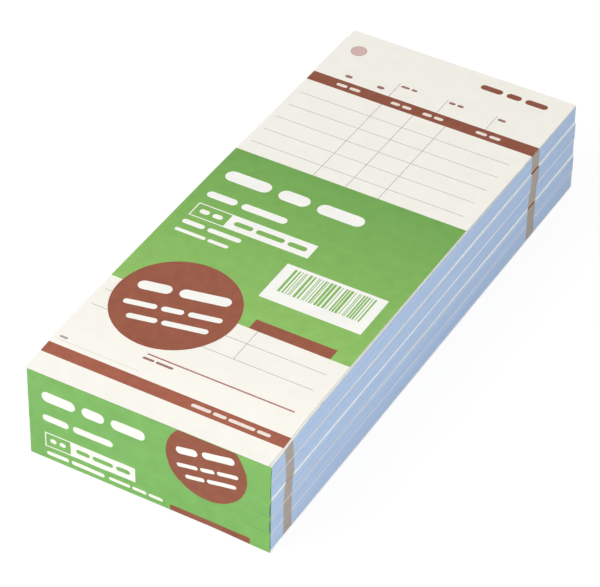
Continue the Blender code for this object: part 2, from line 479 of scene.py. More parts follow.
# Cut edge of the board where the knife has dragged ink over it from the leaves' bars
SMEARED_EDGE = Finish("ink_smeared_board_edge", "ADA197", "A0948A", cloud_mm=1.5, roughness=0.85)


class Mark(NamedTuple):
    """A printed shape on a sheet: its outline in millimetres and the finish that covers it."""

    outline: Outline
    finish: Finish


def bar(left: float, right: float, low: float, high: float) -> Outline:
    """A rectangle's outline, anticlockwise."""
    return [(left, low), (right, low), (right, high), (left, high)]


def rule(left: float, right: float, middle: float, width: float) -> Outline:
    """A thin line across the sheet, as an outline."""
    return bar(left, right, middle - width / 2, middle + width / 2)


def upright(middle: float, low: float, high: float, width: float) -> Outline:
    """A thin line along the sheet, as an outline."""
    return bar(middle - width / 2, middle + width / 2, low, high)


def disc(centre: Point, radius: float, steps: int = 96) -> Outline:
    """A circle's outline, anticlockwise."""
    turns = [2 * pi * step / steps for step in range(steps)]
    return [(centre[0] + radius * cos(turn), centre[1] + radius * sin(turn)) for turn in turns]


def capsule(centre: Point, length: float, height: float, tilt: float, steps: int = 10) -> Outline:
    """A bar with round ends.

    Args:
        centre: Its middle.
        length: Length over the round ends.
        height: Height, which is twice the ends' radius.
        tilt: Turn about its middle, in radians.
        steps: Straight pieces in each round end.

    Returns:
        The outline, anticlockwise.
    """
    radius = height / 2
    reach = length / 2 - radius
    outline = []
    for side, start in ((1, -pi / 2), (-1, pi / 2)):
        for step in range(steps + 1):
            turn = start + pi * step / steps
            along = side * reach + radius * cos(turn)
            across = radius * sin(turn)
            outline.append((centre[0] + along * cos(tilt) - across * sin(tilt),
                            centre[1] + along * sin(tilt) + across * cos(tilt)))
    return outline


class PrintLine(NamedTuple):
    """A line of plain round-ended bars, in millimetres.

    Attributes:
        left: Left end of the line.
        middle: Height of the line's middle at its left end.
        length: Length of the whole line.
        height: Height of the bars.
        words: Relative lengths of the bars.
        tilt: Turn of the line about its left end, in radians.
    """

    left: float
    middle: float
    length: float
    height: float
    words: tuple[int, ...]
    tilt: float = 0.0

    def marks(self, ink: Finish, gap_share: float = 0.6) -> list[Mark]:
        """The line's bars.

        Args:
            ink: Finish of the bars.
            gap_share: Gap between two bars, as a share of their height.

        Returns:
            One mark for each bar.
        """
        gap = self.height * gap_share
        scale = (self.length - gap * (len(self.words) - 1)) / sum(self.words)
        marks = []
        at = 0.0
        for word in self.words:
            reach = at + word * scale / 2
            centre = (self.left + reach * cos(self.tilt), self.middle + reach * sin(self.tilt))
            marks.append(Mark(capsule(centre, word * scale, self.height, self.tilt), ink))
            at += word * scale + gap
        return marks


@dataclass
class Piece:
    """A mesh in the making.

    Attributes:
        name: Name of the piece.
        mesh: Its mesh, empty at first.
        finishes: The finishes that its faces wear, with the numbers of their material slots.
    """

    name: str
    mesh: bmesh.types.BMesh = field(default_factory=bmesh.new)
    finishes: dict[Finish, int] = field(default_factory=dict)

    def wear(self, finish: Finish) -> int:
        """The number of a finish's material slot, which is added if it is new."""
        return self.finishes.setdefault(finish, len(self.finishes))

    def make(self, slot: str, *nodes: str) -> Object:
        """Turn the mesh into an object that stands for CAD nodes.

        Args:
            slot: Name of a material slot; not used.
            *nodes: The CAD nodes.

        Returns:
            The object, at the origin, in the scene's collection.
        """
        data = bpy.data.meshes.new(self.name)
        self.mesh.to_mesh(data)
        self.mesh.free()
        for finish in self.finishes:
            data.materials.append(finish.material())
        data.shade_smooth()
        data.set_sharp_from_angle(angle=SHARP_ANGLE)
        made = put_in_scene(self.name, data)
        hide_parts(*nodes)
        LOG.info("%s: %d faces, %d finishes", self.name, len(data.polygons), len(self.finishes))
        return made


@dataclass
class Sheet:
    """A flat sheet with printed marks, cut so that every mark is made of faces of its own.

    Attributes:
        outlines: The sheet's outline in millimetres, or several whose union it is.
        thickness_mm: Thickness of the sheet.
        face: Finish of the upper side where no mark lies.
        back: Finish of the lower side.
        rim: Finish of the cut edge.
        marks: Marks on the upper side, later ones over earlier ones.
        folds_u: Places across the sheet where it can bend.
        folds_v: Places along the sheet where it can bend.
    """

    outlines: list[Outline]
    thickness_mm: float
    face: Finish
    back: Finish
    rim: Finish
    marks: list[Mark] = field(default_factory=list)
    folds_u: list[float] = field(default_factory=list)
    folds_v: list[float] = field(default_factory=list)

    @classmethod
    def plain(cls, width: float, length: float, thickness_mm: float, finish: Finish, **more: Any) -> "Sheet":
        """A rectangular sheet that is of one finish all over, apart from its marks."""
        return cls([bar(0.0, width, 0.0, length)], thickness_mm, finish, finish, finish, **more)

    def cut(self) -> tuple[list[Point], list[tuple[list[int], Finish]]]:
        """Cut the sheet along its marks and folds.

        Returns:
            The points, and for each triangle its points' numbers and the finish of its upper side.
        """
        points: list[Vector] = []
        loops: list[list[int]] = []
        for outline in self.outlines + [mark.outline for mark in self.marks]:
            loops.append(list(range(len(points), len(points) + len(outline))))
            points.extend(Vector(point) for point in outline)
        across, along = zip(*(point for outline in self.outlines for point in outline))
        lines = [((u, min(along)), (u, max(along))) for u in self.folds_u]
        lines += [((min(across), v), (max(across), v)) for v in self.folds_v]
        edges = []
        for line in lines:
            edges.append((len(points), len(points) + 1))
            points.extend(Vector(end) for end in line)
        cut_points, _, triangles, _, _, owners = delaunay_2d_cdt(points, edges, loops, 1, CUT_EPSILON_MM)
        faces = []
        for triangle, owner in zip(triangles, owners):
            if min(owner, default=len(loops)) >= len(self.outlines):
                continue
            printed = max(owner) - len(self.outlines)
            faces.append((list(triangle), self.marks[printed].finish if printed >= 0 else self.face))
        return [(point.x, point.y) for point in cut_points], faces

    def add_to(self, piece: Piece, shape: Shape) -> None:
        """Add the sheet to a piece as a closed thin body.

        Args:
            piece: The piece that takes it.
            shape: Gives the places of the sheet's points.
        """
        points, faces = self.cut()
        upper: dict[int, bmesh.types.BMVert] = {}
        lower: dict[int, bmesh.types.BMVert] = {}
        for number in {number for triangle, _ in faces for number in triangle}:
            upper[number] = piece.mesh.verts.new(shape(*points[number], 0.0))
            lower[number] = piece.mesh.verts.new(shape(*points[number], self.thickness_mm))

        def add_face(corners: list[bmesh.types.BMVert], finish: Finish) -> None:
            """Add a face in a finish."""
            piece.mesh.faces.new(corners).material_index = piece.wear(finish)

        used: dict[frozenset, list[tuple[int, int]]] = {}
        for triangle, finish in faces:
            add_face([upper[number] for number in triangle], finish)
            add_face([lower[number] for number in reversed(triangle)], self.back)
            for side in zip(triangle, triangle[1:] + triangle[:1]):
                used.setdefault(frozenset(side), []).append(side)
        for (start, end), *others in used.values():
            if not others:
                add_face([upper[end], upper[start], lower[start], lower[end]], self.rim)


@dataclass(frozen=True)
class Place:
    """Where a CAD node of four-sided plan lies, by its corners at height 0."""

    front_left: Vector
    front_right: Vector
    head_left: Vector
    head_right: Vector

    @classmethod
    def of_node(cls, node: Object) -> "Place":
        """Read the place from the node's outermost corners.

        Args:
            node: The CAD node's object.

        Returns:
            Its place in plan.
        """
        low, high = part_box(node.name)
        size = high - low
        corners = []
        for side, end in ((-1, -1), (1, -1), (-1, 1), (1, 1)):
            far = max((v.co for v in node.data.vertices),
                      key=lambda co: side * co.x / size.x + end * co.y / size.y)
            corners.append(Vector((far.x, far.y, 0.0)))
        return cls(*corners)

    @property
    def width_mm(self) -> float:
        """Length of the front edge."""
        return (self.front_right - self.front_left).length * PER_METRE

    @property
    def length_mm(self) -> float:
        """Length of the long edges."""
        return (self.head_left - self.front_left).length * PER_METRE

    def matrix(self) -> Matrix:
        """Where a plan about its own middle comes to lie.

        Returns:
            The transform from that plan to the frame.
        """
        turn = Vector((1.0, 0.0, 0.0)).rotation_difference(self.front_right - self.front_left)
        centre = (self.front_left + self.front_right + self.head_left + self.head_right) / 4
        return Matrix.Translation(centre) @ turn.to_matrix().to_4x4()

    def point(self, u_mm: float, v_mm: float, height: float = 0.0) -> Vector:
        """The place of a point.

        Args:
            u_mm: Distance across from the front left corner.
            v_mm: Distance along from the front left corner.
            height: Height in metres.

        Returns:
            The point in the frame.
        """
        front = self.front_left.lerp(self.front_right, u_mm / self.width_mm)
        head = self.head_left.lerp(self.head_right, u_mm / self.width_mm)
        return front.lerp(head, v_mm / self.length_mm) + Vector((0.0, 0.0, height))


@dataclass(frozen=True)
class Arch:
    """How a pad's leaves arch: up from the front edge, level, then down to the glued head.

    Attributes:
        front: Place of the front edge.
        head: Place of the glued head.
        height: Height of the arch, which is 0 on a flat pad.
        front_rise: Length of the rise.
        head_fall: Length of the fall.
    """

    front: float
    head: float
    height: float
    front_rise: float = 24.0 * MM
    head_fall: float = 90.0 * MM

    def lift(self, y: float) -> float:
        """Height of the arch at a place along the pad."""
        rise = smooth_step((y - self.front) / self.front_rise)
        return self.height * rise * smooth_step((self.head - y) / self.head_fall)

    def folds(self, spacing_mm: float = 3.0) -> list[float]:
        """Places along a leaf, from its front edge, where it is cut so that it can arch."""
        length_mm = (self.head - self.front) * PER_METRE
        return evenly(length_mm, int(length_mm / spacing_mm)) if self.height else []

    def bend(self, place: Place, top: float, start_mm: float = 0.0) -> Shape:
        """How a sheet lies along the arch.

        Args:
            place: Where the sheet lies in plan.
            top: Height of its upper side where the arch begins.
            start_mm: Where the sheet starts along the place.

        Returns:
            The sheet's shape.
        """
        def arched(u: float, v: float, depth: float) -> Vector:
            """The place of a point of the sheet."""
            point = place.point(u, start_mm + v)
            return point + Vector((0.0, 0.0, top + self.lift(point.y) - depth * MM))

        return arched


class Leaf(Enum):
    """The two leaves of a carbonless set, by their paper."""

    ORIGINAL = ORIGINAL_PAPER
    COPY = COPY_PAPER

    @property
    def slot(self) -> str:
        """Name of the leaf's material slot."""
        return f"{self.name.lower()}_paper"


class PrintDrift(NamedTuple):
    """How far a pad's bars are printed off their place, in millimetres towards the head.

    Attributes:
        foot: Drift of the foot bar on the top leaf, and how much more it has drifted by the lowest leaf.
        header: The same of the header bar.
    """

    foot: Span = (0.0, 0.0)
    header: Span = (0.0, 0.0)


@dataclass(frozen=True)
class CheckForm:
    """The form printed on every leaf, in millimetres from the leaf's front left corner.

    Attributes:
        width: Width of the leaf.
        length: Length of the leaf.
        drift: How far the bars are printed off their place.
        foot_bar: Front and back edge of the bar across the foot.
        header_bar: Front and back edge of the bar across the head.
        row_pitch: From one row to the next.
        row_count: Number of rows.
        row_ends: Left and right end of the rows.
        columns: Places of the lines between the columns.
        ticks: Places of the short lines over the header bar.
        tick_height: Length of the short lines.
        rule_width: Width of the fine lines.
        total_line: Left end, right end, place and width of the line under the total.
        number_line: The same of the line at the number.
        dot_centre: Middle of the rose dot.
        dot_radius: Radius of the dot.
        dot_rim: Width of the dot's darker rim.
    """

    width: float
    length: float
    drift: PrintDrift = PrintDrift()
    foot_bar: Span = (7.4, 11.4)
    header_bar: Span = (148.3, 152.9)
    row_pitch: float = 7.0
    row_count: int = 17
    row_ends: Span = (1.8, 71.2)
    columns: tuple[float, ...] = (25.5, 36.1, 46.7)
    ticks: tuple[float, ...] = (25.3, 41.4, 57.5)
    tick_height: float = 7.5
    rule_width: float = 0.2
    total_line: Box = (25.9, 71.1, 19.75, 0.5)
    number_line: Box = (1.5, 27.1, 13.2, 0.2)
    dot_centre: Point = (6.5, 168.5)
    dot_radius: float = 2.45
    dot_rim: float = 0.15

    DOT_STEPS = 40
    # Small captions: right of and below a tick's top, over the header bar, under the total, over the number
    TICK_CAPTION = (0.8, 1.1)
    HEADER_CAPTION_RISE = 2.6
    TOTAL_CAPTION_DROP = 1.7
    NUMBER_CAPTION_RISE = 1.2

    def stripes(self) -> tuple[EdgeStripe, ...]:
        """Where the foot bar and the header bar run off the leaf's long edges."""
        bars = zip((self.foot_bar, self.header_bar), self.drift)
        return tuple(EdgeStripe(front + shift, back + shift, fan) for (front, back), (shift, fan) in bars)

    def marks(self) -> list[Mark]:
        """All printed marks, in the order in which they are laid.

        Returns:
            Rules, bars, the dot and caption bars.
        """
        foot, header = self.stripes()
        rows = [header.front - self.row_pitch * row for row in range(1, self.row_count + 1)]
        fine = [rule(*self.row_ends, row, self.rule_width) for row in rows]
        fine += [upright(column, rows[-1], header.front, self.rule_width) for column in self.columns]
        fine += [upright(tick, header.back, header.back + self.tick_height, self.rule_width)
                 for tick in self.ticks]
        marks = [Mark(outline, RULE_INK) for outline in fine]
        marks += [
            Mark(rule(*self.number_line), PALE_RULE_INK),
            Mark(rule(*self.total_line), TOTAL_INK),
            # The header bar takes the darker brown, which is painted shade
            Mark(bar(0.0, self.width, header.front, header.back), SHADED_BROWN_INK),
            Mark(bar(0.0, self.width, foot.front, foot.back), BROWN_INK),
            Mark(disc(self.dot_centre, self.dot_radius, self.DOT_STEPS), CAPTION_INK),
            Mark(disc(self.dot_centre, self.dot_radius - self.dot_rim, self.DOT_STEPS), ROSE_INK),
        ]
        return marks + self.captions(foot.middle, header)

    def captions(self, in_foot: float, header: EdgeStripe) -> list[Mark]:
        """Small plain bars that head the form's fields.

        Args:
            in_foot: Middle of the foot bar.
            header: Where the header bar lies.

        Returns:
            The caption bars.
        """
        beside, below = self.TICK_CAPTION
        by_tick = header.back + self.tick_height - below
        over_header = header.back + self.HEADER_CAPTION_RISE
        under_total = self.total_line[2] - self.TOTAL_CAPTION_DROP
        over_number = self.number_line[2] + self.NUMBER_CAPTION_RISE
        first, second, third = (tick + beside for tick in self.ticks)
        lines = (
            (PrintLine(46.5, 171.4, 22.0, 2.3, (3, 2, 3)), SHADED_BROWN_INK),
            (PrintLine(9.2, over_header, 2.4, 1.3, (1,)), CAPTION_INK),
            (PrintLine(20.0, over_header, 2.4, 1.3, (1,)), CAPTION_INK),
            (PrintLine(first, by_tick, 5.4, 1.0, (3, 2)), CAPTION_INK),
            (PrintLine(second, by_tick, 4.8, 1.1, (1, 1)), CAPTION_INK),
            (PrintLine(third, by_tick, 2.6, 1.1, (1,)), CAPTION_INK),
            (PrintLine(9.0, header.middle, 8.0, 1.3, (1, 1)), KNOCKED_OUT),
            (PrintLine(27.4, header.middle, 6.8, 1.3, (1, 1)), KNOCKED_OUT),
            (PrintLine(38.0, header.middle, 6.8, 1.3, (1, 1)), KNOCKED_OUT),
            (PrintLine(55.6, header.middle, 8.0, 1.3, (1, 1)), KNOCKED_OUT),
            (PrintLine(46.0, in_foot, 24.0, 1.1, (3, 2, 4, 2)), KNOCKED_OUT),
            (PrintLine(25.5, under_total, 9.5, 0.8, (2, 3)), CAPTION_INK),
            (PrintLine(self.number_line[0], over_number, 2.6, 0.8, (1,)), RULE_INK),
        )
        return [mark for line, ink in lines for mark in line.marks(ink)]

    def sheet(self, leaf: Leaf, folds_v: list[float]) -> Sheet:
        """A leaf with this form on it, which can bend at the folds."""
        return Sheet.plain(self.width, self.length, LEAF_THICKNESS_MM, leaf.value, marks=self.marks(),
                           folds_v=folds_v)


class LeafBlockTree:
    """Geometry nodes that stack a pad's leaves: rows of edges, each trimmed a hair apart, along an arch."""

    SOCKETS = {
        "NodeSocketFloat": ("Leaf Width", "Leaf Length", "Block Height", "Trim Wander", "Bundle Wander",
                            "Leaves in Bundle", "Arch Height", "Front Rise", "Head Fall"),
        "NodeSocketInt": ("Leaf Count", "Cuts Across", "Cuts Along", "Seed"),
        "NodeSocketMaterial": ("Edges",),
    }
    SPREAD_POWER = 1.5

    def __init__(self) -> None:
        """Build the tree."""
        self.tree = bpy.data.node_groups.new("leaf_block", "GeometryNodeTree")
        face = self.tree.interface
        self.keys = {name: face.new_socket(name=name, in_out="INPUT", socket_type=kind).identifier
                     for kind, names in self.SOCKETS.items() for name in names}
        face.new_socket(name="Geometry", in_out="OUTPUT", socket_type="NodeSocketGeometry")
        self.lay_nodes()

    def lay_nodes(self) -> None:
        """Lay the nodes from the plain block to the dressed one."""
        add = partial(add_node, self.tree)
        given = add("NodeGroupInput").outputs
        size = add("ShaderNodeCombineXYZ", {
            "X": given["Leaf Width"], "Y": given["Leaf Length"], "Z": given["Block Height"]})
        block = add("GeometryNodeMeshCube", {
            "Size": size, "Vertices X": given["Cuts Across"], "Vertices Y": given["Cuts Along"],
            "Vertices Z": add(MATH, {0: given["Leaf Count"], 1: 1}, operation="ADD")})
        axes = add("ShaderNodeSeparateXYZ", {"Vector": add("GeometryNodeInputPosition")}).outputs
        half_height, half_length = (add(MATH, {0: given[name], 1: 0.5}, operation="MULTIPLY")
                                    for name in ("Block Height", "Leaf Length"))
        from_front = add(MATH, {0: axes["Y"], 1: half_length}, operation="ADD")
        from_head = add(MATH, {0: half_length, 1: axes["Y"]}, operation="SUBTRACT")
        from_middle = add(MATH, {0: axes["Z"], 1: given["Block Height"]}, operation="DIVIDE")
        share = add(MATH, {0: from_middle, 1: 0.5}, operation="ADD")
        level = add(MATH, {0: share, 1: given["Leaf Count"]}, operation="MULTIPLY")
        row = add(MATH, {0: level}, operation="ROUND")
        place_mm = add(MATH, {0: from_front, 1: PER_METRE}, operation="MULTIPLY")
        for name, value in (("leaf_number", row), ("leaf_place", place_mm)):
            block = add("GeometryNodeStoreNamedAttribute", {"Geometry": block, "Name": name, "Value": value},
                        data_type="FLOAT", domain="POINT")

        bundles = add(MATH, {0: row, 1: given["Leaves in Bundle"]}, operation="DIVIDE")
        bundle = add(MATH, {0: bundles}, operation="FLOOR")
        trims = []
        for number, reach in ((row, "Trim Wander"), (bundle, "Bundle Wander")):
            far = add("ShaderNodeCombineXYZ", {"X": given[reach], "Y": given[reach]})
            near = add("ShaderNodeVectorMath", {0: far, 1: (-1.0, -1.0, 0.0)}, operation="MULTIPLY")
            trims.append(add("FunctionNodeRandomValue", {
                0: near, 1: far, "ID": number, "Seed": given["Seed"]}, data_type="FLOAT_VECTOR"))
        trim = add("ShaderNodeVectorMath", dict(enumerate(trims)), operation="ADD")

        rise, fall = (add(MAP_RANGE, {"Value": reach, "From Min": 0.0, "From Max": given[span]},
                          interpolation_type="SMOOTHSTEP")
                      for reach, span in ((from_front, "Front Rise"), (from_head, "Head Fall")))
        slope = add(MATH, {0: rise, 1: fall}, operation="MULTIPLY")
        arch = add(MATH, {0: slope, 1: given["Arch Height"]}, operation="MULTIPLY")
        part = add(MATH, {0: share, 1: self.SPREAD_POWER}, operation="POWER")
        up = add(MATH, {0: arch, 1: part, 2: half_height}, operation="MULTIPLY_ADD")
        lifted = add("ShaderNodeCombineXYZ", {"Z": up})
        offset = add("ShaderNodeVectorMath", {0: trim, 1: lifted}, operation="ADD")
        moved = add("GeometryNodeSetPosition", {"Geometry": block, "Offset": offset})
        real = add("GeometryNodeRealizeInstances", {"Geometry": moved})
        dressed = add("GeometryNodeSetMaterial", {"Geometry": real, "Material": given["Edges"]})
        add("NodeGroupOutput", {"Geometry": dressed})

    def mesh(self, **values: Any) -> Mesh:
        """Run the tree once.

        Args:
            **values: The tree's inputs by name, with _ for each space.

        Returns:
            A plain mesh, standing on height 0 with its middle at the origin in plan.
        """
        holder = put_in_scene("leaf_block_holder", bpy.data.meshes.new("leaf_block_holder"))
        modifier = holder.modifiers.new("leaf_block", "NODES")
        modifier.node_group = self.tree
        for name, key in self.keys.items():
            modifier[key] = values[name.replace(" ", "_")]
        depsgraph = bpy.context.evaluated_depsgraph_get()
        made = bpy.data.meshes.new_from_object(
            holder.evaluated_get(depsgraph), preserve_all_data_layers=True, depsgraph=depsgraph)
        holder.modifiers.remove(modifier)
        bpy.data.objects.remove(holder, do_unlink=True)
        return made


class PadLook(NamedTuple):
    """How one pad differs from the others.

    Attributes:
        leaf_count: Leaves in the block, without those that turn one by one.
        drift: How far the bars are printed off their place.
        edge_greyness: How far the board's cut edge is greyed at the front and at the head, where 0 and less
            is clean and 1 is all grey.
        smears: Finish of the board's cut edge at the foot bar and at the header bar, where ink covers it.
    """

    leaf_count: int
    drift: PrintDrift
    edge_greyness: Span
    smears: tuple[Finish | None, Finish | None]


# From the top pad down
PAD_LOOKS = (
    PadLook(96, PrintDrift((0.1, 0.4), (0.4, -0.2)), (0.9, -0.3), (None, BROWN_INK)),
    PadLook(100, PrintDrift((0.5, 0.0), (0.3, -0.4)), (0.0, 0.6), (SMEARED_EDGE, SMEARED_EDGE)),
    PadLook(100, PrintDrift((-0.2, -0.7), (-0.6, -0.3)), (0.95, -0.3), (None, BROWN_INK)),
    PadLook(100, PrintDrift((-0.9, 0.0), (-1.4, 0.0)), (0.75, 0.65), (SMEARED_EDGE, SMEARED_EDGE)),
    PadLook(100, PrintDrift((-0.85, 0.0), (-1.3, 0.2)), (0.3, 0.3), (None, None)),
)


@dataclass
class Pad:
    """One head-glued pad: its leaf block with the printed top leaf, its backing board and its glue film.

    Attributes:
        number: Pad number, from the top down.
        look: How it differs from the other pads.
        nodes: The CAD nodes.
        tree: The tree that stacks leaves.
        arch: How its leaves arch.
        edge_wander_mm: How far the board's edges are out of line.
        edge_wave_mm: Length of that wander's waves.
        patch_count: Waves of the greying's patches along the board.
        patch_share: How far the patches change the greying.
        glue_rim_mm: Width of the film's thinner rim.
        glue_shares: Thickness of the film at its rim, and what its middle and its ridges add, as shares of
            the solid's.
        ridge_waves_mm: Length and height of the brush's ridges.
    """

    number: int
    look: PadLook
    nodes: Nodes
    tree: LeafBlockTree
    arch: Arch
    edge_wander_mm: float = 0.05
    edge_wave_mm: float = 30.0
    patch_count: float = 9.0
    patch_share: float = 0.3
    glue_rim_mm: float = 0.5
    glue_shares: tuple[float, float, float] = (0.45, 0.4, 0.15)
    ridge_waves_mm: Span = (14.0, 0.45)

    # How far apart the pads' draws of noise lie
    GREYING_DRAW = 1.7
    RIDGE_DRAW = 3.7
    # Least sideways share of the normal on a long cut edge
    SIDEWAYS = 0.5

    @property
    def body(self) -> str:
        """Name of the pad's body."""
        return f"pad_{self.number}"

    def build(self) -> None:
        """Build and dress the pad's three pieces."""
        for piece, part, slot in ((self.leaves(), "leaf_block", "leaf_edges"),
                                  (self.board(), "backing_board", "backing_board"),
                                  (self.glue(), "head_glue", "padding_glue")):
            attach(piece.make(slot, f"{self.body}_{part}"), self.body)

    def find(self, part: str) -> tuple[Place, Vector, Vector]:
        """Place, lowest corner and highest corner of one of the pad's CAD nodes."""
        node = f"{self.body}_{part}"
        return Place.of_node(self.nodes[node]), *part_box(node)

    def leaves(self) -> Piece:
        """The block of leaf edges with the top leaf on it.

        Returns:
            The finished piece.
        """
        place, low, high = self.find("leaf_block")
        top = high.z - self.arch.height
        form = CheckForm(place.width_mm, place.length_mm, self.look.drift)
        edges = LeafEdgeFinish(f"trimmed_carbonless_leaf_edges_{self.number}", stripes=form.stripes(),
                               leaf_count=self.look.leaf_count)
        # The top leaf is a sheet of its own, so the block has one leaf less
        block = self.tree.mesh(
            Leaf_Width=form.width * MM, Leaf_Length=form.length * MM,
            Block_Height=top - low.z - (LEAF_THICKNESS_MM + HAIR_GAP_MM) * MM,
            Leaf_Count=self.look.leaf_count - 1, Cuts_Across=9, Cuts_Along=60,
            Trim_Wander=0.018 * MM, Bundle_Wander=0.03 * MM, Leaves_in_Bundle=7.0,
            Arch_Height=self.arch.height, Front_Rise=self.arch.front_rise, Head_Fall=self.arch.head_fall,
            Seed=self.number, Edges=edges.material())
        block.transform(Matrix.Translation((0.0, 0.0, low.z)) @ place.matrix())
        piece = Piece(f"{self.body}_leaves")
        piece.mesh.from_mesh(block)
        bpy.data.meshes.remove(block)
        for face in piece.mesh.faces:
            face.material_index = piece.wear(edges)
        form.sheet(Leaf.ORIGINAL, self.arch.folds()).add_to(piece, self.arch.bend(place, top))
        return piece

    def board(self) -> Piece:
        """The backing board, with guillotined edges that are a little out of line, greyed in places and
        smeared.

        Returns:
            The finished piece.
        """
        place, low, high = self.find("backing_board")
        width, length = place.width_mm, place.length_mm
        waves = (self.edge_wave_mm, self.edge_wave_mm)

        def lying(u: float, v: float, depth: float) -> Vector:
            """The place of a point of the board."""
            shift = self.edge_wander_mm * wander(u, v, waves, self.number + depth)
            return place.point(u + shift, v + shift, high.z - depth * MM)

        spans = [stripe.at_board for stripe in CheckForm(width, length, self.look.drift).stripes()]
        board = Sheet.plain(width, length, (high.z - low.z) * PER_METRE, PAD_BOARD, folds_u=evenly(width, 10),
                            folds_v=evenly(length, 24) + [end for span in spans for end in span])
        piece = Piece(f"{self.body}_board")
        board.add_to(piece, lying)
        self.smear(piece, place, spans)
        # The cut edge is greyed in places, from the front to the head as each pad's look gives
        greying = piece.mesh.verts.layers.float.new("edge_grey_share")
        at_front, at_head = self.look.edge_greyness
        for vert in piece.mesh.verts:
            share = (vert.co.y - low.y) / (high.y - low.y)
            patch = noise.noise((share * self.patch_count, self.GREYING_DRAW * self.number, 0.0))
            greyed = at_front + (at_head - at_front) * share + self.patch_share * patch
            vert[greying] = min(max(greyed, 0.0), 1.0)
        return piece

    def smear(self, piece: Piece, place: Place, spans: list[Span]) -> None:
        """Cover the board's long cut edges with ink at the bars.

        Args:
            piece: The board's piece.
            place: Where the board lies.
            spans: Front and back edge of the foot bar and of the header bar, in millimetres.
        """
        piece.mesh.normal_update()
        for (front, back), finish in zip(spans, self.look.smears):
            for face in piece.mesh.faces:
                along = (face.calc_center_median().y - place.front_right.y) * PER_METRE
                if finish and front < along < back and abs(face.normal.x) > self.SIDEWAYS:
                    face.material_index = piece.wear(finish)

    def glue(self) -> Piece:
        """The glue film on the head: thinner at its rims, with ridges along the brush stroke.

        Returns:
            The finished piece.
        """
        place, low, high = self.find("head_glue")
        width, film_mm = place.width_mm, place.length_mm
        height = (high.z - low.z) * PER_METRE
        at_rim, in_middle, in_ridges = self.glue_shares

        def brushed(u: float, v: float, depth: float) -> Vector:
            """The place of a point of the film.

            Args:
                u: Distance across, seen from behind the head.
                v: Height on the film.
                depth: Depth below the brushed side, which is 0 on it.

            Returns:
                The point in the frame.
            """
            body = at_rim + in_middle * smooth_step(min(u, width - u, v, height - v) / self.glue_rim_mm)
            ridges = in_ridges * wander(u, v, self.ridge_waves_mm, self.RIDGE_DRAW * self.number)
            out = 0.0 if depth else film_mm * (body + ridges)
            return place.point(width - u, out, low.z + v * MM)

        rims = [self.glue_rim_mm, width - self.glue_rim_mm]
        film = Sheet.plain(width, height, film_mm, PADDING_GLUE, folds_u=rims + evenly(width, 40),
                           folds_v=evenly(height, 28))
        piece = Piece(f"{self.body}_glue")
        film.add_to(piece, brushed)
        return piece


@dataclass
class LooseLeaf:
    """A leaf of the top pad that turns over the head by itself.

    Attributes:
        leaf: Original or copy.
        held_by: Body that its glued head stays with; not used.
        body: Name of the free leaf's body, which names its CAD node and its piece.
        bend_mm: Length of the stretch at the head in which the leaf bends as it turns.
        bend_steps: Straight pieces in that stretch.
    """

    leaf: Leaf
    held_by: str
    body: str
    bend_mm: float = 4.5
    bend_steps: int = 15

    def build(self, nodes: Nodes, arch: Arch) -> None:
        """Build the leaf, cut so that it can bend at its glued head.

        Args:
            nodes: The CAD nodes.
            arch: The top pad's arch.
        """
        node = f"{self.body}_leaf"
        place = Place.of_node(nodes[node])
        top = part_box(node)[0].z + LEAF_THICKNESS_MM * MM
        form = CheckForm(place.width_mm, place.length_mm)
        folds = arch.folds() + [form.length - self.bend_mm * step / self.bend_steps
                                for step in range(1, self.bend_steps + 1)]
        piece = Piece(f"{self.body}_check")
        form.sheet(self.leaf, folds).add_to(piece, arch.bend(place, top))
        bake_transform(piece.make(self.leaf.slot, node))


@dataclass
class WritingUnderlay:
    """The loose card that lies under the first set.

    Attributes:
        node: Name of its CAD node.
        thickness_mm: Thickness of the card.
    """

    node: str = "writing_underlay"
    thickness_mm: float = 0.15

    def build(self, nodes: Nodes, arch: Arch) -> None:
        """Build the card along the arch.

        Args:
            nodes: The CAD nodes.
            arch: The top pad's arch.
        """
        place = Place.of_node(nodes[self.node])
        width, length = place.width_mm, place.length_mm
        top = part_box(self.node)[1].z - arch.height
        card = Sheet.plain(width, length, self.thickness_mm, UNDERLAY_CARD, folds_u=evenly(width, 8),
                           folds_v=evenly(length, 60))
        piece = Piece("underlay_card")
        card.add_to(piece, arch.bend(place, top))
        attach(piece.make("underlay_card", self.node), "underlay")


